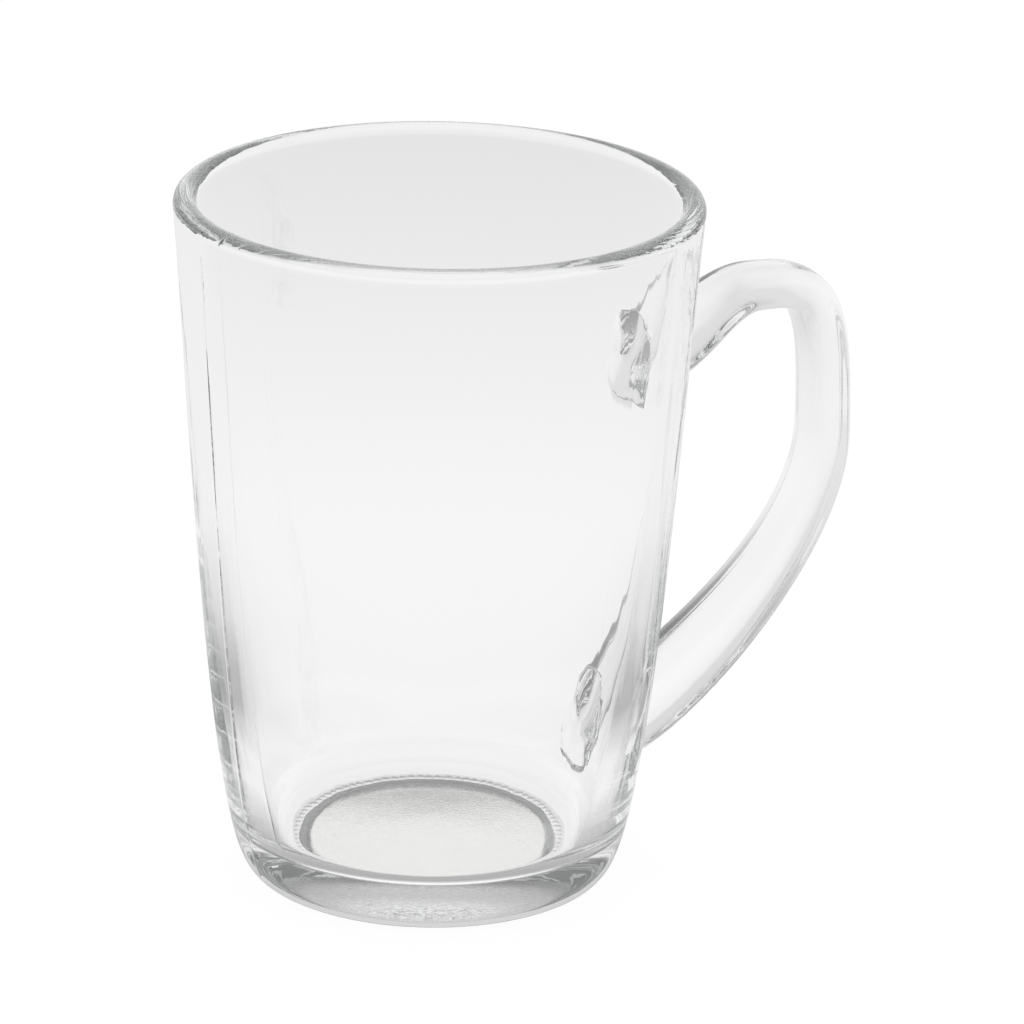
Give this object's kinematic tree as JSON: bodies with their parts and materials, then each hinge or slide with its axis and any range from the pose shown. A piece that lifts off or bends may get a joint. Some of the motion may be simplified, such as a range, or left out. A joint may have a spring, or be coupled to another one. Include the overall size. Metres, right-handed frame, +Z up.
{
  "type": "glass mug",
  "caption": "Clear pressed-glass mug: tapered tumbler body with a rounded lip, a thick recessed base and a fused loop handle.",
  "frame": {"origin": "centre of the ring that the mug stands on, at table level", "axes": "+Z up along the axis of the body, +X out through the middle of the handle"},
  "size_m": [0.1133, 0.0808, 0.11],
  "materials": {
    "body_glass": "clear colourless glass, fire-polished",
    "handle_glass": "clear colourless glass, fire-polished"
  },
  "bodies": {
    "root": {"mug_body": "body_glass", "handle": "handle_glass"}
  },
  "joints": []
}
